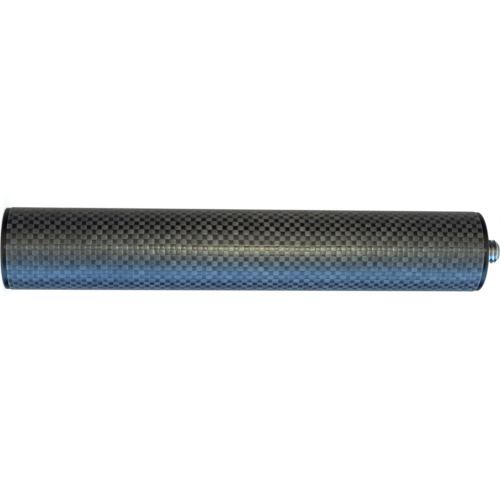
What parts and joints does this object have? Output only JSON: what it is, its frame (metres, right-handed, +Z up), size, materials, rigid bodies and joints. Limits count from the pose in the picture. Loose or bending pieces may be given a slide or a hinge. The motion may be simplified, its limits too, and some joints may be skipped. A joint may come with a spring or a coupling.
{
  "type": "tripod leg extension",
  "caption": "Short round carbon fibre tube with a black cap in each end, a tapped socket in one and a threaded stud in the other, that lengthens a tripod leg.",
  "frame": {"origin": "on the tube's axis, at the foot: the middle of the tapped socket's mouth", "axes": "+Z up along the tube's axis, from the socket it stands on to the stud"},
  "size_m": [0.032, 0.032, 0.194],
  "materials": {
    "carbon_weave": "satin",
    "black_anodised": "satin",
    "zinc_plate": "polished"
  },
  "bodies": {
    "root": {"carbon_tube": "carbon_weave", "socket_end_cap": "black_anodised", "stud_end_cap": "black_anodised", "threaded_stud": "zinc_plate"}
  },
  "joints": []
}
